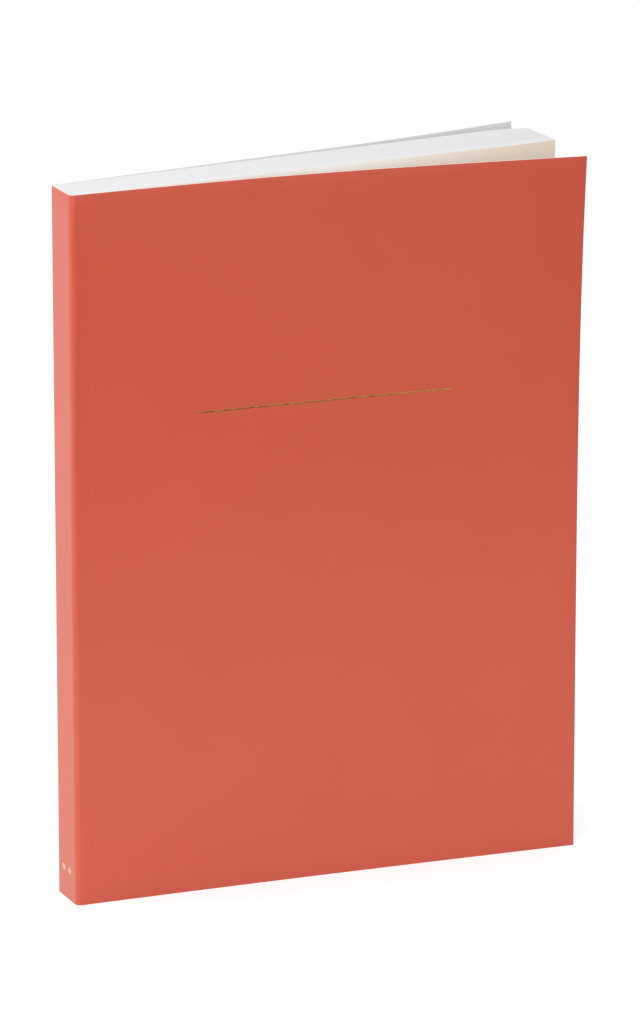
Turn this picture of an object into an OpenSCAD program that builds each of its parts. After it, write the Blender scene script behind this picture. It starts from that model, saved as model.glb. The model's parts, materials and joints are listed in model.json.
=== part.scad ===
// Softcover notebook that stands on its tail with both covers ajar.
// Millimetres. X runs from the spine to the fore-edge, Y from the front cover to
// the back cover and Z from tail to head. The origin is on the tail, half-way along
// the closed book's width and in the middle of the spine's thickness.

/* [Book] */
// Height from tail to head
book_h = 210; // [120:1:300]
// Width of the closed book, from spine to fore-edge
book_w = 155; // [110:0.5:230]
// Thickness across the spine, outside the cover
spine_w = 15.5; // [10:0.5:40]

/* [Cover card] */
// Thickness of the card
cover_t = 0.5; // [0.3:0.05:0.9]
// Outside radius of the two folds beside the spine
fold_r = 1.7; // [1.6:0.1:4]
// Distance from the spine's face to the middle of each crease
hinge_w = 5.5; // [4.5:0.5:12]
// Width of the scored crease that each cover turns on
crease_w = 0.2; // [0.1:0.05:0.6]

/* [Front cover] */
// Angle between the first leaf and the cover where it leaves its crease, at the tail
front_open_tail_deg = 5; // [1:0.1:30]
// The same angle at the head
front_open_head_deg = 3; // [1:0.1:30]
// Outward curl that the cover gains on its way to the fore-edge, at the tail
front_curl_tail_deg = 1.4; // [0:0.1:15]
// The same curl at the head
front_curl_head_deg = 8.8; // [0:0.1:15]
// Distance from the crease over which the cover takes on its curl
front_bend = 132; // [50:1:200]
// How fast the head's shape fades towards the tail, as a power of the height
corner_fade = 5; // [1:0.5:8]

/* [Back cover] */
// Angle between the last leaf and the cover where it leaves its crease
back_open_deg = 1.5; // [1:0.1:30]
// Outward curl that the cover gains on its way to the fore-edge
back_curl_deg = 4.5; // [0:0.1:15]
// Distance from the crease at which the curl begins
back_bend_from = 74; // [0:1:90]
// Distance from the crease at which the curl is complete
back_bend_to = 149; // [100:1:220]

/* [Pages] */
// Angle by which the block leans from square, towards the back cover
block_lean_deg = 4.5; // [0:0.1:8]
// Angle by which the leaves fan out on either side of that lean
block_fan_deg = 1.4; // [0:0.1:5]
// Thickness of each flyleaf
flyleaf_t = 0.2; // [0.1:0.05:0.5]
// Thickness of the glue between the cover and the pages
glue_t = 0.3; // [0.2:0.05:0.8]
// Length over which the first leaves curl in at the fore-edge
front_edge_l = 16; // [5:1:60]
// Radius of that curl
front_edge_r = 120; // [60:1:400]
// Length over which the last leaves curl in at the fore-edge
back_edge_l = 13; // [5:1:20]
// Radius of that curl
back_edge_r = 28; // [25:1:400]

/* [Foil] */
// Thickness of the foil
foil_t = 0.05; // [0.03:0.01:0.15]
// Length of the rule stamped across the front cover
rule_l = 78; // [20:1:90]
// Height of the rule's stroke
rule_w = 0.4; // [0.3:0.1:2]
// Distance from the head to the rule's upper edge
rule_drop = 66.5; // [10:0.5:110]
// Distance of the rule's middle from the cover's middle, towards the spine
rule_shift = 1; // [0:0.5:10]
// Width of each lozenge stamped at the foot of the spine
mark_w = 2.4; // [0.8:0.1:4]
// Spacing of the two lozenges
mark_pitch = 4.5; // [3:0.5:6]
// Height of the lozenges' centres above the tail
mark_rise = 9; // [4:0.5:30]

/* [Hidden] */
$fn = 64;

coral = [0.80, 0.35, 0.27];
paper = [0.96, 0.96, 0.94];
cream = [0.93, 0.88, 0.80];
glue = [0.90, 0.87, 0.78];
gold = [0.72, 0.52, 0.22];

// Planes and lengths that several pieces share
spine_x = -book_w / 2;
crease_x = spine_x + hinge_w;
leaf_x = spine_x + fold_r;
cover_out = spine_w / 2;
glue_out = cover_out - cover_t;
leaf_out = glue_out - glue_t;
block_out = leaf_out - flyleaf_t;
cover_l = book_w - hinge_w - crease_w / 2;
leaf_l = book_w - fold_r;
strip_l = hinge_w + crease_w / 2 - fold_r;
front_face = block_fan_deg - block_lean_deg;
back_face = block_fan_deg + block_lean_deg;
rule_from = book_w / 2 - rule_shift - rule_l / 2 - hinge_w - crease_w / 2;
rule_to = rule_from + rule_l;
rule_top = book_h - rule_drop;
rule_foot = rule_top - rule_w;

// Numbers of stations along and up a cover
end_stations = 7;
rule_stations = 12;
tail_rows = 9;
head_rows = 8;
curl_stations = 12;

function mix(a, b, share) = a + (b - a) * share;
function ease(x) = let (t = max(0, min(1, x))) t * t * (3 - 2 * t);
function spread(a, b, n) = [for (i = [0:n]) mix(a, b, i / n)];
function tail_of(list) = [for (i = [1:len(list) - 1]) list[i]];
function reversed(list) = [for (i = [len(list) - 1:-1:0]) list[i]];

// Follows a sheet in plan, from [x, out], past the given stations along its length.
// "out" counts away from the middle of the book, and the heading turns outwards.
// Each point is [x, out, heading].
function trace(start, stations, heading) = [
    for (k = 0, x = start[0], out = start[1];
         k < len(stations);
         step = stations[min(k + 1, len(stations) - 1)] - stations[k],
         turn = heading(stations[k] + step / 2),
         x = x + step * cos(turn),
         out = out + step * sin(turn),
         k = k + 1)
    [x, out, heading(stations[k])]
];

// Moves a traced line outwards, square to itself
function shifted(line, d) = [
    for (p = line) [p[0] - d * sin(p[2]), p[1] + d * cos(p[2]), p[2]]
];

// Plan points of a traced line on the front half or, mirrored, on the back half
function front_plan(line) = [for (p = line) [p[0], -p[1]]];
function back_plan(line) = [for (p = line) [p[0], p[1]]];

// Stations along a cover and rows up it; both hold the edges of the stamped rule
function cover_stations() = concat(
    spread(0, rule_from, end_stations),
    tail_of(spread(rule_from, rule_to, rule_stations)),
    tail_of(spread(rule_to, cover_l, end_stations))
);
function cover_rows() = concat(
    spread(0, rule_foot, tail_rows), spread(rule_top, book_h, head_rows)
);

// Heading of each cover at a distance s past its crease, at a height z
function front_heading(z) =
    let (w = pow(z / book_h, corner_fade),
         open = front_face + mix(front_open_tail_deg, front_open_head_deg, w),
         curl = mix(front_curl_tail_deg, front_curl_head_deg, w))
    function (s) open + curl * ease(s / front_bend);
function back_heading(z) =
    function (s) back_face + back_open_deg
        + back_curl_deg * ease((s - back_bend_from) / (back_bend_to - back_bend_from));

// Grid of [x, out, heading, z] over a cover's outer face
function cover_grid(heading_at, rows) = [
    for (z = rows) [
        for (p = trace([crease_x + crease_w / 2, cover_out], cover_stations(), heading_at(z)))
        [p[0], p[1], p[2], z]
    ]
];

// Plan lines of the block's two faces: square to the spine under the glued strip,
// leaning from the crease on and curled in at the fore-edge
function leaf_stations(edge_l) = concat(
    [0, strip_l], spread(leaf_l - edge_l, leaf_l, curl_stations)
);
function leaf_heading(lean, edge_l, edge_r) =
    function (s) s < strip_l ? 0
        : lean - max(0, s - (leaf_l - edge_l)) / edge_r * 180 / PI;
function front_leaf() = trace(
    [leaf_x, block_out], leaf_stations(front_edge_l),
    leaf_heading(front_face, front_edge_l, front_edge_r)
);
function back_leaf() = trace(
    [leaf_x, block_out], leaf_stations(back_edge_l),
    leaf_heading(back_face, back_edge_l, back_edge_r)
);

// Closed sheet between two depths below a cover grid's face, on the front half
module card(grid, top, bottom) {
    cols = len(grid[0]);
    rows = len(grid);
    count = rows * cols;
    function layer(depth) = [
        for (row = grid) for (p = row)
        [p[0] + depth * sin(p[2]), -p[1] + depth * cos(p[2]), p[3]]
    ];
    face = [
        for (j = [0:rows - 2]) for (i = [0:cols - 2])
        let (a = j * cols + i, b = a + cols)
        each [[a, b, b + 1], [a, b + 1, a + 1]]
    ];
    rim = concat(
        [for (j = [0:rows - 2]) j * cols],
        [for (i = [0:cols - 2]) (rows - 1) * cols + i],
        [for (j = [rows - 1:-1:1]) j * cols + cols - 1],
        [for (i = [cols - 1:-1:1]) i]
    );
    sides = [
        for (k = [0:len(rim) - 1])
        let (p = rim[k], q = rim[(k + 1) % len(rim)])
        each [[q, p, p + count], [q, p + count, q + count]]
    ];
    back = [for (f = face) [f[2] + count, f[1] + count, f[0] + count]];
    polyhedron(points = concat(layer(top), layer(bottom)), faces = concat(face, sides, back));
}

// Outline of the spine's cross-section at a depth inside the cover's outer face,
// with both folds rounded about the same centres and open towards the fore-edge
module spine_outline(depth, length) {
    r = fold_r - depth;
    translate([leaf_x, 0])
        for (side = [-1, 1]) translate([0, side * (cover_out - fold_r)]) circle(r);
    translate([spine_x + depth, -(cover_out - fold_r)])
        square([fold_r, 2 * (cover_out - fold_r)]);
    translate([leaf_x, -(cover_out - depth)])
        square([length - fold_r, 2 * (cover_out - depth)]);
}

// Spine of the cover card with both folds and the strips glued beside them
module spine() {
    color(coral) linear_extrude(book_h) difference() {
        spine_outline(0, hinge_w - crease_w / 2);
        spine_outline(cover_t, book_w);
    }
}

module front_cover() {
    color(coral) card(cover_grid(function (z) front_heading(z), cover_rows()), 0, cover_t);
}

module back_cover() {
    color(coral) mirror([0, 1, 0])
        card(cover_grid(function (z) back_heading(z), cover_rows()), 0, cover_t);
}

// Every leaf between the flyleaves, as one block rounded into the folds at the spine
module page_block() {
    color(paper) linear_extrude(book_h) {
        polygon(concat(front_plan(front_leaf()), reversed(back_plan(back_leaf()))));
        intersection() {
            spine_outline(cover_t + glue_t, hinge_w);
            translate([spine_x, -block_out]) square([fold_r, 2 * block_out]);
        }
    }
}

module front_flyleaf() {
    face = front_leaf();
    color(cream) linear_extrude(book_h)
        polygon(front_plan(concat(shifted(face, flyleaf_t), reversed(face))));
}

module back_flyleaf() {
    face = back_leaf();
    color(cream) linear_extrude(book_h)
        polygon(back_plan(concat(shifted(face, flyleaf_t), reversed(face))));
}

// Glue across the block's spine and under the two strips beside it
module spine_glue() {
    color(glue) linear_extrude(book_h) difference() {
        spine_outline(cover_t, hinge_w - crease_w / 2);
        spine_outline(cover_t + glue_t, book_w);
    }
}

// Foil rule on the cells of the front cover's face that lie under it
module title_rule() {
    grid = cover_grid(function (z) front_heading(z), [rule_foot, rule_top]);
    under = [
        for (row = grid) [for (i = [end_stations:end_stations + rule_stations]) row[i]]
    ];
    color(gold) card(under, -foil_t, 0);
}

// Two plain foil lozenges at the foot of the spine
module spine_marks() {
    color(gold) for (side = [-1, 1])
        translate([spine_x - foil_t / 2, side * mark_pitch / 2, mark_rise])
            rotate([45, 0, 0]) cube([foil_t, mark_w / sqrt(2), mark_w / sqrt(2)], center = true);
}

spine();
front_cover();
back_cover();
page_block();
front_flyleaf();
back_flyleaf();
spine_glue();
title_rule();
spine_marks();
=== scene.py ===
# %% [markdown]
# # A softcover notebook in coral card
# The book stands on its tail with both covers ajar. The construction comes from the CAD part, which stays
# the fixed frame; this lesson gives each piece its look: thin curled card, separate leaves, stamped foil.
# Lengths are in metres, with `MM` for one millimetre.

import json
import math

import bmesh
import bpy
import numpy as np
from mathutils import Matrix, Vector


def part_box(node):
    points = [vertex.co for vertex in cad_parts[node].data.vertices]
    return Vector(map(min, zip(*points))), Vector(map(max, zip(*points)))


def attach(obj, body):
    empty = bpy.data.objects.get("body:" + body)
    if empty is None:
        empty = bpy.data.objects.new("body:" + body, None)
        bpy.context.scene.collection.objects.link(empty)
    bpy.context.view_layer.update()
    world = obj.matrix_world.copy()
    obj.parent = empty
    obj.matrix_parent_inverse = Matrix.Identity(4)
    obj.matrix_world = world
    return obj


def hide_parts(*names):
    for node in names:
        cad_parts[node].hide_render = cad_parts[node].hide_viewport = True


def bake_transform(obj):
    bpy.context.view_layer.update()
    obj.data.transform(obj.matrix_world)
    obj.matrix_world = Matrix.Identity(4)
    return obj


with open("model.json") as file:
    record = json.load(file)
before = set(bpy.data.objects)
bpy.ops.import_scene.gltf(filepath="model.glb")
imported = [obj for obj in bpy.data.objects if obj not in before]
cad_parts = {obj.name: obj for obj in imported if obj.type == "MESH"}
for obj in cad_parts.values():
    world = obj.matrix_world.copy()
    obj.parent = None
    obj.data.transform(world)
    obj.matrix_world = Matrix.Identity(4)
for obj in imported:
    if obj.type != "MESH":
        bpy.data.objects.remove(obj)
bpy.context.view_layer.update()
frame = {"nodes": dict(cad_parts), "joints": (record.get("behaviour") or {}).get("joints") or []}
MM = 0.001

# %% [markdown]
# ## Sizes
# What can be measured on the CAD part is measured: the creases come from the two hinges, the height and
# the spine's face from the nodes' boxes. Thicknesses and angles are the same values that the part's source
# states, because a box can't tell them. "Out" counts away from the middle of the book, so that one
# description serves the front and the back.

# %% Sizes
HINGE = {j["name"]: j["pos_m"] for j in frame["joints"]}
CREASE_X, COVER_OUT = HINGE["back_cover_hinge"][:2]
SPINE_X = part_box("spine")[0].x
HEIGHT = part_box("spine")[1].z
COVER_T = 0.5 * MM
GLUE_T = 0.3 * MM
FLYLEAF_T = 0.2 * MM
FOLD_R = 1.7 * MM
BOOK_W = -2 * SPINE_X
COVER_L = BOOK_W / 2 - CREASE_X
LEAF_X = SPINE_X + FOLD_R
LEAF_L = BOOK_W - FOLD_R
BLOCK_OUT = COVER_OUT - COVER_T - GLUE_T - FLYLEAF_T
# The block's two faces lean outwards by these angles, in degrees.
FRONT_LEAN, BACK_LEAN = -3.1, 5.9
print(f"book {BOOK_W / MM:.1f} x {HEIGHT / MM:.1f} mm, spine {2 * COVER_OUT / MM:.1f} mm")

# %% [markdown]
# ## Colours and node trees
# Colours are picked as sRGB hex, the way they look on a screen, while shaders count in linear light, so
# one function converts them. A second small function adds a node with its settings and links in one line.


# %% Colour and node helpers
def colour(hexcode):
    channels = [int(hexcode[i : i + 2], 16) / 255 for i in (1, 3, 5)]
    linear = [c / 12.92 if c <= 0.04045 else ((c + 0.055) / 1.055) ** 2.4 for c in channels]
    return (*linear, 1.0)


def add(tree, kind, inputs=None, **settings):
    node = tree.nodes.new(kind)
    for key, value in settings.items():
        setattr(node, key, value)
    for key, value in (inputs or {}).items():
        if isinstance(value, bpy.types.NodeSocket):
            tree.links.new(value, node.inputs[key])
        else:
            node.inputs[key].default_value = value
    return node


def new_material(name):
    material = bpy.data.materials.new(name)
    material.use_nodes = True
    tree = material.node_tree
    shader = tree.nodes["Principled BSDF"]
    place = add(tree, "ShaderNodeTexCoord").outputs["Object"]
    print("material:", name)
    return material, tree, shader, place


# %% [markdown]
# ## Coral card
# The cover is dyed card with a matt film on its outside. Three things make it read as that rather than
# as plain paint: a soft sheen where it turns away from the eye, a very fine grain that breaks the sheen
# up, and a faint mottle of the dye. The inside and the cut edges show the card's own pale stock. Noise on
# Object coordinates gives all three, with no picture and no unwrapping.


# %% Mottle and grain
# Noise seldom leaves this range, so the two colours sit at its ends.
NOISE_LOW, NOISE_HIGH = 0.3, 0.7


def tinted(tree, place, light, dark, size, shift=None):
    noise = add(tree, "ShaderNodeTexNoise", {"Vector": place, "Scale": 1 / size, "Detail": 3.0})
    amount = noise.outputs["Fac"]
    if shift:
        amount = add(tree, "ShaderNodeMath", {0: amount, 1: shift}, operation="ADD").outputs[0]
    ramp = add(tree, "ShaderNodeValToRGB", {"Fac": amount})
    low, high = ramp.color_ramp.elements
    low.position, high.position = NOISE_LOW, NOISE_HIGH
    low.color, high.color = colour(dark), colour(light)
    return ramp.outputs["Color"]


def grain(tree, place, size, depth, strength):
    noise = add(tree, "ShaderNodeTexNoise", {"Vector": place, "Scale": 1 / size, "Detail": 4.0})
    pressed = {"Height": noise.outputs["Fac"], "Distance": depth, "Strength": strength}
    return add(tree, "ShaderNodeBump", pressed).outputs["Normal"]


# %% Card materials
# A satin film: at a roughness of about a third it mirrors the pale floor as a broad, milky haze.
CORAL, tree, shader, place = new_material("coral matt laminated card")
tree.links.new(tinted(tree, place, "#CE5842", "#CC5640", 30 * MM), shader.inputs["Base Color"])
tree.links.new(grain(tree, place, 0.35 * MM, 0.02 * MM, 0.1), shader.inputs["Normal"])
shader.inputs["Roughness"].default_value = 0.35
shader.inputs["Specular IOR Level"].default_value = 0.5

# Uncoated stock: no sheen to speak of, a white that leans to grey.
STOCK, tree, shader, place = new_material("white uncoated card stock")
tree.links.new(tinted(tree, place, "#DBDDE0", "#D9DBDD", 6 * MM), shader.inputs["Base Color"])
tree.links.new(grain(tree, place, 0.25 * MM, 0.02 * MM, 0.4), shader.inputs["Normal"])
shader.inputs["Roughness"].default_value = 0.85
shader.inputs["Specular IOR Level"].default_value = 0.3

# A guillotined edge: the pale core, blushed by the dyed face beside it.
CUT, tree, shader, place = new_material("guillotined card edge")
tree.links.new(tinted(tree, place, "#FCEDE8", "#F8E3DC", 0.8 * MM), shader.inputs["Base Color"])
shader.inputs["Roughness"].default_value = 0.9
shader.inputs["Specular IOR Level"].default_value = 0.2

CARD = [CORAL, STOCK, CUT]


# %% [markdown]
# ## Following a sheet
# A sheet of card keeps its length when it bends, so its shape in plan is best described by its heading:
# walk along it in small steps and turn a little at each. The same walk serves the covers and the leaves.


# %% Walking along a sheet
def ease(x):
    t = np.clip(x, 0, 1)
    return t * t * (3 - 2 * t)


def walk(start, stations, heading):
    middle = np.radians(heading((stations[1:] + stations[:-1]) / 2))
    step = np.diff(stations)
    x = start[0] + np.concatenate([[0], np.cumsum(step * np.cos(middle))])
    out = start[1] + np.concatenate([[0], np.cumsum(step * np.sin(middle))])
    return x, out, np.radians(heading(stations))


def at_depth(line, depth):
    x, out, turn = line
    return x + depth * np.sin(turn), out - depth * np.cos(turn)


def spaced(*stops):
    """Stations from (position, steps to the next) pairs; the last pair's steps are ignored."""
    parts = [np.linspace(a, b, n, endpoint=False) for (a, n), (b, _) in zip(stops, stops[1:])]
    return np.concatenate([*parts, [stops[-1][0]]])


def stack(plan, rows):
    """Lays one plan line at each of the given heights."""
    x, y = np.broadcast_arrays(*plan)
    grid = np.zeros((len(rows), x.shape[-1], 3))
    grid[..., 0], grid[..., 1], grid[..., 2] = x, y, np.asarray(rows)[:, None]
    return grid


# %% [markdown]
# ## A sheet with thickness
# Card and leaves are closed solids: two grids of points, one per face, joined by a rim. A Solidify modifier
# could thicken one grid, but two grids let the outside be pressed in more than the inside. The rim gets a
# tiny bevel, as a blade leaves it, so that it catches light. A seam, where two pieces of the same sheet
# meet flush, is left sharp and so stays invisible.


# %% Rim of a sheet
SAME_PLACE = 0.001 * MM


def rim_of(rows, cols):
    """The outline of a grid of points, once round."""
    return [
        *range(cols),
        *(j * cols + cols - 1 for j in range(1, rows)),
        *((rows - 1) * cols + i for i in range(cols - 2, -1, -1)),
        *(j * cols for j in range(rows - 2, 0, -1)),
    ]


def soften_rim(mesh, bevel, seam_x):
    def on_seam(edge):
        return any(all(abs(v.co.x - x) < SAME_PLACE for v in edge.verts) for x in seam_x)

    bm = bmesh.new()
    bm.from_mesh(mesh)
    turns = [e for e in bm.edges if len({f.material_index for f in e.link_faces}) == 2]
    corners = [e for e in turns if not on_seam(e)]
    shape = {"offset": bevel, "segments": 2, "profile": 0.6, "affect": "EDGES", "material": -1}
    bmesh.ops.bevel(bm, geom=corners, **shape)
    bm.to_mesh(mesh)
    bm.free()


# %% Sheet builder
SHARP_ANGLE = math.radians(35)


def sheet(name, outer, inner, materials, bevel=0.0, seam_x=()):
    rows, cols = outer.shape[:2]
    count = rows * cols
    cells = [j * cols + i for j in range(rows - 1) for i in range(cols - 1)]
    front = [(a, a + 1, a + cols + 1, a + cols) for a in cells]
    back = [tuple(v + count for v in reversed(quad)) for quad in front]
    rim = rim_of(rows, cols)
    edge = [(q, p, p + count, q + count) for p, q in zip(rim, rim[1:] + rim[:1])]
    points = np.concatenate([outer.reshape(-1, 3), inner.reshape(-1, 3)])
    mesh = bpy.data.meshes.new(name)
    mesh.from_pydata(points, [], front + back + edge)
    mesh.polygons.foreach_set("material_index", [0] * len(front) + [1] * len(back) + [2] * len(edge))
    for material in materials:
        mesh.materials.append(material)
    if bevel:
        soften_rim(mesh, bevel, seam_x)
    mesh.polygons.foreach_set("use_smooth", [True] * len(mesh.polygons))
    mesh.set_sharp_from_angle(angle=SHARP_ANGLE)
    piece = bpy.data.objects.new(name, mesh)
    bpy.context.scene.collection.objects.link(piece)
    print(name, len(mesh.vertices), "points,", len(mesh.polygons), "faces")
    return piece


# %% [markdown]
# ## Spine
# The card is folded twice beside the spine. A fold in thick card is never sharp: the outside stretches
# round a radius of under 2 mm, and this soft corner is what shades from the pale spine to the darker
# front. The piece runs from one glued strip round to the other and ends there in two flush seams.

# %% Spine
SEAM_X = CREASE_X - 2.2 * MM
CARD_EDGE = {"bevel": 0.06 * MM, "seam_x": [SEAM_X]}
quarter = np.radians(np.linspace(0, 90, 13))


def spine_line(depth):
    r, half = FOLD_R - depth, COVER_OUT - FOLD_R
    strip = np.linspace(SEAM_X, LEAF_X, 5)[:-1]
    arc_x, arc_y = LEAF_X - r * np.sin(quarter), half + r * np.cos(quarter)
    flat = np.linspace(half, -half, 9)[1:-1]
    half_x = np.concatenate([strip, arc_x])
    half_y = np.concatenate([np.full(len(strip), half + r), arc_y])
    x = np.concatenate([half_x, np.full(len(flat), LEAF_X - r), half_x[::-1]])
    y = np.concatenate([half_y, flat, -half_y[::-1]])
    return x, y


rows = np.linspace(0, HEIGHT, 25)
spine_outer, spine_inner = stack(spine_line(0), rows), stack(spine_line(COVER_T), rows)
spine = sheet("spine_card", spine_outer, spine_inner, CARD, **CARD_EDGE)
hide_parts("spine")
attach(spine, "block")

# %% [markdown]
# ## Covers
# Each cover leaves its crease nearly flat and then curls outwards; the front one curls most at its head
# corner, where hands pick it up. The crease is a faint score, pressed in so lightly that the card stays
# smooth to the eye. The foil rule is stamped with heat and pressure and lies in a shallow trench. The
# sheet starts on the glued strip, before the crease, and runs on across it.

# %% Headings of the covers
# Angles are in degrees, and pairs of them are for the tail and the head.
CREASE_BEND = 1.2 * MM
FRONT_OPEN = (5, 3)
FRONT_SPRING = (1.4, 8.8)
FRONT_BEND = 132 * MM
CORNER_FADE = 5
BACK_OPEN, BACK_SPRING = 1.5, 4.5
BACK_BEND_FROM, BACK_BEND_TO = 74 * MM, 149 * MM


def past_crease(heading):
    return lambda s: ease(s / CREASE_BEND + 0.5) * heading(np.maximum(s, 0))


def front_heading(z):
    headwards = (z / HEIGHT) ** CORNER_FADE
    opened = FRONT_LEAN + np.interp(headwards, (0, 1), FRONT_OPEN)
    sprung = np.interp(headwards, (0, 1), FRONT_SPRING)
    return past_crease(lambda s: opened + sprung * ease(s / FRONT_BEND))


def back_heading(z):
    bend = BACK_BEND_TO - BACK_BEND_FROM
    return past_crease(lambda s: BACK_LEAN + BACK_OPEN + BACK_SPRING * ease((s - BACK_BEND_FROM) / bend))


print(f"front curls {FRONT_SPRING[0]} to {FRONT_SPRING[1]} degrees, back {BACK_SPRING} degrees")

# %% Score and stamp
RULE_Z, RULE_W, RULE_L = 143.1 * MM, 0.4 * MM, 78 * MM
RULE_SHIFT = 1 * MM
RULE_FROM = COVER_L - BOOK_W / 2 - RULE_L / 2 - RULE_SHIFT
RULE_TO = RULE_FROM + RULE_L
SCORE_DEPTH, SCORE_W = 0.02 * MM, 0.45 * MM
TRENCH_DEPTH, END_SLOPE, SIDE_SLOPE = 0.08 * MM, 0.25 * MM, 0.2 * MM
# The inside of the card gives way less than its outside is pressed.
PRESSED_THROUGH = 0.6


def score(s):
    return SCORE_DEPTH * np.exp(-((s / SCORE_W) ** 2))


def trench(s, z):
    along = ease((s - RULE_FROM) / END_SLOPE + 1) * ease((RULE_TO - s) / END_SLOPE + 1)
    across = ease((z - RULE_Z) / SIDE_SLOPE + 1) * ease((RULE_Z + RULE_W - z) / SIDE_SLOPE + 1)
    return TRENCH_DEPTH * along * across


print(f"rule from {RULE_FROM / MM:.1f} to {RULE_TO / MM:.1f} mm past the crease")

# %% Grids of the covers
# Stations and rows lie close together where the card bends or is pressed, and wide apart elsewhere.
END_ROOM, SIDE_ROOM = 0.3 * MM, 0.24 * MM
STATIONS = spaced(
    (SEAM_X - CREASE_X, 4),
    (-CREASE_BEND, 24),
    (CREASE_BEND, 4),
    (3 * CREASE_BEND, 12),
    (RULE_FROM - END_ROOM, 4),
    (RULE_FROM, 40),
    (RULE_TO, 4),
    (RULE_TO + END_ROOM, 20),
    (COVER_L, 0),
)
ROWS = spaced(
    (0, 16),
    (RULE_Z - SIDE_ROOM, 4),
    (RULE_Z, 2),
    (RULE_Z + RULE_W, 4),
    (RULE_Z + RULE_W + SIDE_ROOM, 16),
    (HEIGHT, 0),
)


def cover_grids(heading_at, side, stamped):
    outer, inner = [], []
    for z in ROWS:
        line = walk((SEAM_X, COVER_OUT), STATIONS, heading_at(z))
        pressed = score(STATIONS) + (trench(STATIONS, z) if stamped else 0)
        for grid, depth in ((outer, pressed), (inner, COVER_T + PRESSED_THROUGH * pressed)):
            x, out = at_depth(line, depth)
            grid.append(np.stack([x, side * out, np.full(len(x), z)], 1))
    return np.array(outer), np.array(inner)


# %% Covers
front_outer, front_inner = cover_grids(front_heading, -1, True)
back_outer, back_inner = cover_grids(back_heading, 1, False)
front = sheet("front_card", front_outer, front_inner, CARD, **CARD_EDGE)
back = sheet("back_card", back_outer[:, ::-1], back_inner[:, ::-1], CARD, **CARD_EDGE)
for piece, body, side in ((front, "front", -1), (back, "back", 1)):
    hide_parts(f"{body}_cover")
    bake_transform(piece)

# %% [markdown]
# ## Foil
# Foil is a metal film a few hundredths of a millimetre thick. It takes the card's surface with it, so the
# rule is a strip of the very same grid, lifted a hair off the trench's floor. A thin stamped line is never
# perfect: the film breaks every millimetre or two, dark brown between bright flecks. Light is painted into
# its colour as well: a painted shade along its lower side and towards the spine, and a painted reflection
# that brightens it towards the fore-edge. The two marks at the foot of the spine keep their CAD shape and
# a whole, pale foil.


# %% Foil materials
def foil(name, light, dark, fleck, metal, painted_light=()):
    material, tree, shader, place = new_material(name)
    spot = add(tree, "ShaderNodeSeparateXYZ", {0: place}).outputs
    shift = 0.0
    # Each entry paints light into the colour: a ramp along one axis from a shaded end to a lit end.
    for axis, start, end, shaded_end, lit_end in painted_light:
        ranged = {"From Min": start, "From Max": end, "To Min": shaded_end, "To Max": lit_end}
        painted_level = add(tree, "ShaderNodeMapRange", {"Value": spot[axis], **ranged}).outputs["Result"]
        shift = add(tree, "ShaderNodeMath", {0: painted_level, 1: shift}).outputs[0]
    tree.links.new(tinted(tree, place, light, dark, fleck, shift), shader.inputs["Base Color"])
    tree.links.new(grain(tree, place, 0.3 * MM, 0.02 * MM, 0.5), shader.inputs["Normal"])
    shader.inputs["Metallic"].default_value = metal
    shader.inputs["Roughness"].default_value = 0.32
    return material


# Rubbed foil: half metal, half brown ground, so that it glints in flecks only. Its colour also holds
# painted light: darker at the lower side and the spine end as painted shade, brighter towards the
# fore-edge as a painted reflection.
FOIL_PAINTED_LIGHT = (("X", -40 * MM, 40 * MM, -0.07, 0.13), ("Z", RULE_Z, RULE_Z + RULE_W, -0.2, 0.2))
OLD_GOLD = foil("stamped old gold foil", "#DDA24C", "#7C4426", 1.6 * MM, 0.5, FOIL_PAINTED_LIGHT)
# Whole foil: all metal, which mirrors the white room as a pale gold.
PALE_GOLD = foil("stamped pale gold foil", "#F8C896", "#EEBA82", 1 * MM, 1.0)

# %% Foil rule and marks
FOIL_TOP, FOIL_UNDER = 0.03 * MM, 0.005 * MM


def within(places, low, high):
    return np.where((places >= low - SAME_PLACE) & (places <= high + SAME_PLACE))[0]


cols = within(STATIONS, RULE_FROM, RULE_TO)
levels = within(ROWS, RULE_Z, RULE_Z + RULE_W)
ground = front_outer[np.ix_(levels, cols)]
forwards = np.array([0, -1, 0])
rule = sheet("rule_foil", ground + FOIL_TOP * forwards, ground + FOIL_UNDER * forwards, [OLD_GOLD] * 3)
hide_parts("title_rule")
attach(rule, "front")
frame["nodes"]["spine_marks"].material_slots[0].material = PALE_GOLD

# %% [markdown]
# ## Flyleaves
# The first and the last leaf are a little heavier than the pages and cream. They lie on the block, square
# to the spine under the glued strip and leaning with the block from the crease on, and their free edges
# curl in. They are walked and given thickness just as the covers are.

# %% Flyleaf paper
# Cream paper with painted shade: at the head corner it turns darker and warmer towards the fore-edge.
HEAD_CORNER_SHADE = (("X", 10 * MM, 60 * MM), ("Z", HEIGHT - 36 * MM, HEIGHT - 5 * MM))
CREAM, tree, shader, place = new_material("cream flyleaf paper")
spot = add(tree, "ShaderNodeSeparateXYZ", {0: place}).outputs
painted_shade = 1.0
# The painted shade grows along X towards the fore-edge, and along Z only near the head.
for axis, start, end in HEAD_CORNER_SHADE:
    ranged = {"From Min": start, "From Max": end, "To Max": painted_shade}
    painted_shade = add(tree, "ShaderNodeMapRange", {"Value": spot[axis], **ranged}).outputs["Result"]
ramp = add(tree, "ShaderNodeValToRGB", {"Fac": painted_shade})
ramp.color_ramp.elements[0].color = colour("#FBF4EB")
ramp.color_ramp.elements[1].color = colour("#EEDBC9")
tree.links.new(ramp.outputs["Color"], shader.inputs["Base Color"])
tree.links.new(grain(tree, place, 0.25 * MM, 0.02 * MM, 0.4), shader.inputs["Normal"])
shader.inputs["Roughness"].default_value = 0.85
shader.inputs["Specular IOR Level"].default_value = 0.3

# %% Flyleaves
HALF_CREASE = 0.1 * MM
FLAT_L = CREASE_X + HALF_CREASE - LEAF_X
# Length and radius of the curl at each free edge.
FRONT_CURL = (16 * MM, 120 * MM)
BACK_CURL = (13 * MM, 28 * MM)


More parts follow.
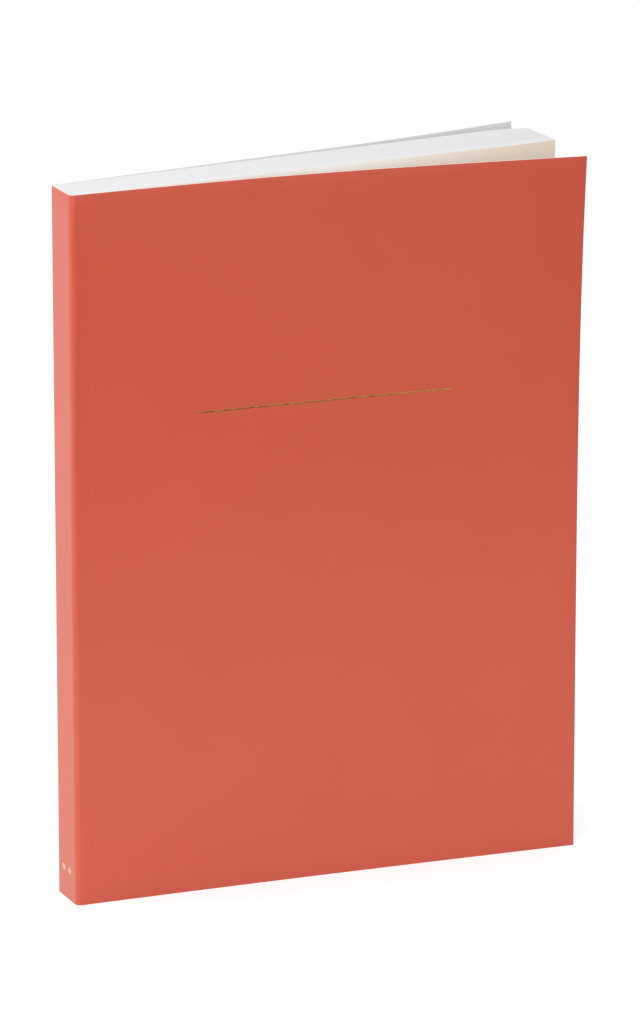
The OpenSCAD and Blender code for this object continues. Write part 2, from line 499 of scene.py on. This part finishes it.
def leaf_line(lean, curl):
    length, radius = curl
    curl_from = LEAF_L - length

    def heading(s):
        curled = np.degrees(np.maximum(0, s - curl_from) / radius)
        return np.where(s < FLAT_L, 0, lean - curled)

    stations = spaced((0, 4), (FLAT_L, 12), (curl_from, 24), (LEAF_L, 0))
    return walk((LEAF_X, BLOCK_OUT), stations, heading)


for name, lean, curl, side in (
    ("front", FRONT_LEAN, FRONT_CURL, -1),
    ("back", BACK_LEAN, BACK_CURL, 1),
):
    line = leaf_line(lean, curl)
    faces = []
    for depth in (-FLYLEAF_T, 0):
        x, out = at_depth(line, depth)
        faces.append(stack((x, side * out), rows)[:, ::-side])
    leaf = sheet(f"{name}_leaf", *faces, [CREAM] * 3)
    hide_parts(f"{name}_flyleaf")
    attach(leaf, "block")

# %% [markdown]
# ## Pages
# The block is a stack of about 150 leaves, tight at the glue and fanned open at the fore-edge. One leaf is
# a long thin box; Geometry Nodes repeats it and then moves each copy's points to a place between the
# block's two outer faces. Changing the count or the lean changes the whole stack, which hand modelling
# could not do. Each leaf has a slightly different white, so that the cut edges show as fine lines.

# %% Page paper
# Book paper: matt and a cool white; the tone of each leaf is stored on its copy.
PAPER, tree, shader, place = new_material("white book paper")
tone = add(tree, "ShaderNodeAttribute", attribute_name="tone").outputs["Fac"]
ramp = add(tree, "ShaderNodeValToRGB", {"Fac": tone})
ramp.color_ramp.elements[0].color = colour("#E6E7E9")
ramp.color_ramp.elements[1].color = colour("#EEEEF0")
tree.links.new(ramp.outputs["Color"], shader.inputs["Base Color"])
shader.inputs["Roughness"].default_value = 0.9
shader.inputs["Specular IOR Level"].default_value = 0.25

# %% Inputs of the leaf stack
LEAVES = 150
ROUND_R = FOLD_R - COVER_T - GLUE_T
STACK_INPUTS = {
    "Leaves": ("Int", LEAVES),
    "Fill": ("Float", 0.96),
    "Length": ("Float", LEAF_L),
    "Height": ("Float", HEIGHT),
    "Start": ("Float", LEAF_X),
    "Spine fold radius": ("Float", ROUND_R),
    "Flat to fold": ("Float", ROUND_R - FLYLEAF_T),
    "Flat length": ("Float", FLAT_L),
    "Half block": ("Float", BLOCK_OUT),
    "Front lean": ("Float", math.radians(FRONT_LEAN)),
    "Back lean": ("Float", math.radians(BACK_LEAN)),
    "Front curl length": ("Float", FRONT_CURL[0]),
    "Front curl radius": ("Float", FRONT_CURL[1]),
    "Back curl length": ("Float", BACK_CURL[0]),
    "Back curl radius": ("Float", BACK_CURL[1]),
    "Unevenness": ("Float", 0.012),
    "Seed": ("Int", 7),
    "Paper": ("Material", PAPER),
}
leaf_tree = bpy.data.node_groups.new("Leaf stack", "GeometryNodeTree")
leaf_tree.is_modifier = True
identifiers = {}
for name, (kind, _) in STACK_INPUTS.items():
    socket = leaf_tree.interface.new_socket(name, in_out="INPUT", socket_type=f"NodeSocket{kind}")
    identifiers[name] = socket.identifier
leaf_tree.interface.new_socket("Geometry", in_out="OUTPUT", socket_type="NodeSocketGeometry")
given = add(leaf_tree, "NodeGroupInput").outputs
print("leaf stack inputs:", ", ".join(STACK_INPUTS))

# %% [markdown]
# ## A recipe for each leaf
# Where a point of a leaf goes is a chain of small sums. Written as a recipe, each line gives a name, what
# is done and with what: a number, an input of the tree or the name of a line above. One loop then adds the
# nodes, and each name labels its node, so that the tree can be read in the node editor.

# %% What the recipe starts from
field = {name: given[name] for name in STACK_INPUTS}
field["index"] = add(leaf_tree, "GeometryNodeInputIndex").outputs[0]
stored = add(leaf_tree, "GeometryNodeInputNamedAttribute", {"Name": "leaf"}, data_type="FLOAT")
field["leaf"] = stored.outputs["Attribute"]
position = add(leaf_tree, "GeometryNodeInputPosition").outputs[0]
spot = add(leaf_tree, "ShaderNodeSeparateXYZ", {0: position}).outputs
field["along"], field["across"], field["up"] = spot[0], spot[1], spot[2]
waves = add(leaf_tree, "ShaderNodeTexNoise", {"Scale": 22.0, "Detail": 1.0}, noise_dimensions="1D")
field["noise"] = waves.outputs["Fac"]
print("the recipe starts from", len(field), "values")

# %% Place of a leaf in the fan
# A leaf's place runs from 0 at the front face to 1 at the back face. It sways a little towards the free
# edge, but not beside the two faces.
FADE_OF_SWAY = 12
PLACE = [
    ("middle of its place", "ADD", "index", 0.5),
    ("share", "DIVIDE", "middle of its place", "Leaves"),
    ("from spine", "MULTIPLY_ADD", "Length", 0.5, "along"),
    ("past strip", "SUBTRACT", "from spine", "Flat length"),
    ("free", "MAXIMUM", "past strip", 0),
    ("draw", "ADD", "Seed", "leaf"),
    ("noise about 0", "SUBTRACT", "noise", 0.5),
    ("sway at edge", "MULTIPLY", "noise about 0", "Unevenness"),
    ("share free", "DIVIDE", "free", "Length"),
    ("sway", "MULTIPLY", "sway at edge", "share free"),
    ("share behind", "SUBTRACT", 1, "leaf"),
    ("inside", "MULTIPLY", "leaf", "share behind"),
    ("grip", "MULTIPLY", "inside", FADE_OF_SWAY),
    ("held", "MINIMUM", "grip", 1),
    ("where", "MULTIPLY_ADD", "sway", "held", "leaf"),
]

# %% Faces of the block
# Each face leans from the crease on, and its free edge drops in a shallow curl.
FACES = [
    line
    for side in ("Front", "Back")
    for line in (
        (f"{side} curl from", "SUBTRACT", "Length", f"{side} curl length"),
        (f"{side} past curl", "SUBTRACT", "from spine", f"{side} curl from"),
        (f"{side} curled", "MAXIMUM", f"{side} past curl", 0),
        (f"{side} square", "MULTIPLY", f"{side} curled", f"{side} curled"),
        (f"{side} diameter", "MULTIPLY", f"{side} curl radius", 2),
        (f"{side} drop", "DIVIDE", f"{side} square", f"{side} diameter"),
        (f"{side} slope", "SINE", f"{side} lean"),
        (f"{side} out", "MULTIPLY_ADD", "free", f"{side} slope", "Half block"),
        (f"{side} face", "SUBTRACT", f"{side} out", f"{side} drop"),
    )
]

# %% Between the faces
# A leaf lies and turns between the two faces by its place, and has its share of the room there.
BETWEEN = [
    ("front y", "MULTIPLY", "Front face", -1),
    ("thickness", "SUBTRACT", "Back face", "front y"),
    ("y", "MULTIPLY_ADD", "thickness", "where", "front y"),
    ("front turn", "MULTIPLY", "Front lean", -1),
    ("fan", "SUBTRACT", "Back lean", "front turn"),
    ("turn", "MULTIPLY_ADD", "fan", "where", "front turn"),
    ("run", "COSINE", "turn"),
    ("flat", "MINIMUM", "from spine", "Flat length"),
    ("x", "MULTIPLY_ADD", "free", "run", "flat"),
    ("both faces", "ADD", "Front face", "Back face"),
    ("room", "DIVIDE", "both faces", "Leaves"),
    ("paper", "MULTIPLY", "room", "Fill"),
]

# %% Round of the spine
# The bound edge of each leaf reaches into the round of the fold, as far as a circle allows there.
AT_SPINE = 0.01 * MM
ROUND = [
    ("round from", "SUBTRACT", "Half block", "Flat to fold"),
    ("off middle", "ABSOLUTE", "y"),
    ("past round", "SUBTRACT", "off middle", "round from"),
    ("into round", "MAXIMUM", "past round", 0),
    ("into square", "MULTIPLY", "into round", "into round"),
    ("radius square", "POWER", "Spine fold radius", 2),
    ("square left", "SUBTRACT", "radius square", "into square"),
    ("square kept", "MAXIMUM", "square left", 0),
    ("reach", "SQRT", "square kept"),
    ("bound edge", "LESS_THAN", "from spine", AT_SPINE),
    ("tuck", "MULTIPLY", "reach", "bound edge"),
    ("start and x", "ADD", "Start", "x"),
    ("new x", "SUBTRACT", "start and x", "tuck"),
    ("new y", "MULTIPLY_ADD", "across", "paper", "y"),
    ("new z", "MULTIPLY_ADD", "Height", 0.5, "up"),
]

# %% Nodes of the recipe
for name, operation, *values in PLACE + FACES + BETWEEN + ROUND:
    inputs = {i: field.get(value, value) for i, value in enumerate(values)}
    node = add(leaf_tree, "ShaderNodeMath", inputs, operation=operation, label=name)
    field[name] = node.outputs[0]
leaf_tree.links.new(field["draw"], waves.inputs["W"])
moved_to = {0: field["new x"], 1: field["new y"], 2: field["new z"]}
target = add(leaf_tree, "ShaderNodeCombineXYZ", moved_to).outputs[0]
print("the recipe ends with", len(field), "values")

# %% Copies of one leaf
size = add(leaf_tree, "ShaderNodeCombineXYZ", {0: given["Length"], 1: 1.0, 2: given["Height"]})
leaf = add(leaf_tree, "GeometryNodeMeshCube", {"Size": size.outputs[0], "Vertices X": 64})
points = add(leaf_tree, "GeometryNodeMeshLine", {"Count": given["Leaves"], "Offset": (0, 0, 0)})
placed = {"Points": points.outputs["Mesh"], "Instance": leaf.outputs["Mesh"]}
geometry = add(leaf_tree, "GeometryNodeInstanceOnPoints", placed).outputs["Instances"]
drawn = {"ID": field["index"], "Seed": given["Seed"]}
chance = add(leaf_tree, "FunctionNodeRandomValue", drawn, data_type="FLOAT").outputs[1]
for name, value in (("leaf", field["share"]), ("tone", chance)):
    kept = {"Geometry": geometry, "Name": name, "Value": value}
    node = add(leaf_tree, "GeometryNodeStoreNamedAttribute", kept, domain="INSTANCE")
    geometry = node.outputs["Geometry"]
for kind, wanted in (
    ("GeometryNodeRealizeInstances", {}),
    ("GeometryNodeSetPosition", {"Position": target}),
    ("GeometryNodeSetMaterial", {"Material": given["Paper"]}),
):
    geometry = add(leaf_tree, kind, {"Geometry": geometry, **wanted}).outputs["Geometry"]
add(leaf_tree, "NodeGroupOutput", {"Geometry": geometry})
print("leaf stack:", len(leaf_tree.nodes), "nodes")

# %% Pages
maker = bpy.data.objects.new("leaf_maker", bpy.data.meshes.new("leaf_maker"))
bpy.context.scene.collection.objects.link(maker)
modifier = maker.modifiers.new("Leaf stack", "NODES")
modifier.node_group = leaf_tree
for name, (_, value) in STACK_INPUTS.items():
    modifier[identifiers[name]] = value
bpy.context.view_layer.update()
leaves_mesh = bpy.data.meshes.new_from_object(
    maker.evaluated_get(bpy.context.evaluated_depsgraph_get())
)
bpy.data.objects.remove(maker)
leaves = bpy.data.objects.new("leaves", leaves_mesh)
bpy.context.scene.collection.objects.link(leaves)
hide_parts("page_block")
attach(leaves, "block")
print("leaves:", LEAVES, "sheets,", len(leaves_mesh.polygons), "faces")

# %% [markdown]
# ## Glue
# Hot-melt glue fills the narrow space between the pages and the card. It shows only as a thin line at head
# and tail, so the CAD piece stays and gets a waxy, slightly yellow material.

# %% Glue
# Set glue is smoother than paper, so it keeps a dull shine.
GLUE, tree, shader, place = new_material("hot-melt binding glue")
tree.links.new(tinted(tree, place, "#F4F0E6", "#EDE7DA", 2 * MM), shader.inputs["Base Color"])
shader.inputs["Roughness"].default_value = 0.45
frame["nodes"]["spine_glue"].material_slots[0].material = GLUE

# %% [markdown]
# ## Floor, light and camera
# The book stands on white, lit by large soft sources. The floor and the room turn white only for rays that
# show them: straight to the camera, or mirrored in film and foil. Light Path tells those rays apart, so the
# white adds nothing to the light that falls on the book, and the floor keeps its soft shadow. The floor
# ends a little way in front: the foot of the cover mirrors it and looks milky, the head mirrors the dim
# room beyond and stays deep in colour.


# %% Floor
WHITE = (1, 1, 1, 1)
FLOOR_GLOW = 0.55
FLOOR_LEFT, FLOOR_NEAR, FLOOR_RIGHT, FLOOR_FAR = -2, -0.3, 2, 2


def shown(tree):
    """One for rays that show the background: straight to the eye, mirrored or through glass."""
    path = add(tree, "ShaderNodeLightPath").outputs
    seen = path["Is Camera Ray"]
    for kind in ("Is Glossy Ray", "Is Transmission Ray"):
        seen = add(tree, "ShaderNodeMath", {0: seen, 1: path[kind]}, operation="MAXIMUM").outputs[0]
    return seen


# Painted board: matt and pale, with no shine that could double the shadow.
FLOOR, tree, shader, place = new_material("white studio floor")
shader.inputs["Base Color"].default_value = colour("#CCCCCC")
shader.inputs["Roughness"].default_value = 0.9
shader.inputs["Specular IOR Level"].default_value = 0.1
shader.inputs["Emission Color"].default_value = WHITE
glow = add(tree, "ShaderNodeMath", {0: shown(tree), 1: FLOOR_GLOW}, operation="MULTIPLY")
tree.links.new(glow.outputs[0], shader.inputs["Emission Strength"])
near_side = [(FLOOR_LEFT, FLOOR_NEAR, 0), (FLOOR_RIGHT, FLOOR_NEAR, 0)]
far_side = [(FLOOR_RIGHT, FLOOR_FAR, 0), (FLOOR_LEFT, FLOOR_FAR, 0)]
floor_mesh = bpy.data.meshes.new("floor")
floor_mesh.from_pydata(near_side + far_side, [], [(0, 1, 2, 3)])
floor_mesh.materials.append(FLOOR)
floor = bpy.data.objects.new("floor", floor_mesh)
bpy.context.scene.collection.objects.link(floor)

# %% World
# The room is dim below the horizon and pale above it; what lies behind the book is paler in a mirror.
ROOM_BELOW, ROOM_ABOVE, BEHIND_MIRRORED, SEEN_WHITE = 0.09, 0.62, 0.5, 1.0
world = bpy.data.worlds.new("white room")
world.use_nodes = True
tree = world.node_tree
sky = tree.nodes["Background"]
sky.inputs["Color"].default_value = WHITE
path = add(tree, "ShaderNodeLightPath").outputs
look = add(tree, "ShaderNodeTexCoord").outputs["Generated"]
aim = add(tree, "ShaderNodeSeparateXYZ", {0: look}).outputs
backwards = {"Value": aim["Y"], "From Min": -0.1, "From Max": 0.4, "To Max": BEHIND_MIRRORED}
behind = add(tree, "ShaderNodeMapRange", backwards).outputs["Result"]
upwards = {"Value": aim["Z"], "From Min": -0.2, "From Max": 0.05}
brightness = {"To Min": ROOM_BELOW, "To Max": ROOM_ABOVE}
room = add(tree, "ShaderNodeMapRange", {**upwards, **brightness}).outputs["Result"]
mirrored = add(tree, "ShaderNodeMath", {0: shown(tree), 1: behind}, operation="MULTIPLY").outputs[0]
lit = add(tree, "ShaderNodeMath", {0: room, 1: mirrored}).outputs[0]
to_eye = {"Value": path["Is Camera Ray"], "To Min": lit, "To Max": SEEN_WHITE}
strength = add(tree, "ShaderNodeMapRange", to_eye).outputs["Result"]
tree.links.new(strength, sky.inputs["Strength"])
bpy.context.scene.world = world
print("room light from", ROOM_BELOW, "to", ROOM_ABOVE)


# %% Lights
def softbox(name, place, aim, size, watts):
    light = bpy.data.lights.new(name, "AREA")
    light.shape = "RECTANGLE"
    light.size, light.size_y = size
    light.energy = watts
    lamp = bpy.data.objects.new(name, light)
    lamp.location = place
    direction = np.array(aim) - np.array(place)
    tilt = math.acos(-direction[2] / np.linalg.norm(direction))
    lamp.rotation_euler = (tilt, 0, math.atan2(-direction[0], direction[1]))
    bpy.context.scene.collection.objects.link(lamp)
    print(name, watts, "W")


softbox("top softbox", (-0.1, 0.1, 1.4), (0, 0, 0.1), (1.2, 1.2), 2)
softbox("front softbox", (-0.7, -1.2, 0.75), (0, 0, 0.13), (1.2, 1.0), 13.8)
softbox("left softbox", (-1.2, 0.55, 0.6), (0, 0, 0.1), (1.0, 0.9), 7.8)

# %% Camera
camera = bpy.data.cameras.new("camera")
camera.sensor_width, camera.lens = 36, 241.85
camera.clip_start, camera.clip_end = 0.1, 50
YAW, PITCH, DISTANCE = math.radians(23.36), math.radians(15.94), 1.991
AIM = np.array([1.96, -0.24, 106.95]) * MM
level = math.cos(PITCH)
away = np.array([-math.sin(YAW) * level, -math.cos(YAW) * level, math.sin(PITCH)])
eye = bpy.data.objects.new("camera", camera)
eye.location = AIM + DISTANCE * away
eye.rotation_euler = (math.pi / 2 - PITCH, 0, -YAW)
bpy.context.scene.collection.objects.link(eye)
bpy.context.scene.camera = eye
bpy.context.scene.view_settings.view_transform = "Standard"
print("camera at", [round(v, 3) for v in eye.location])
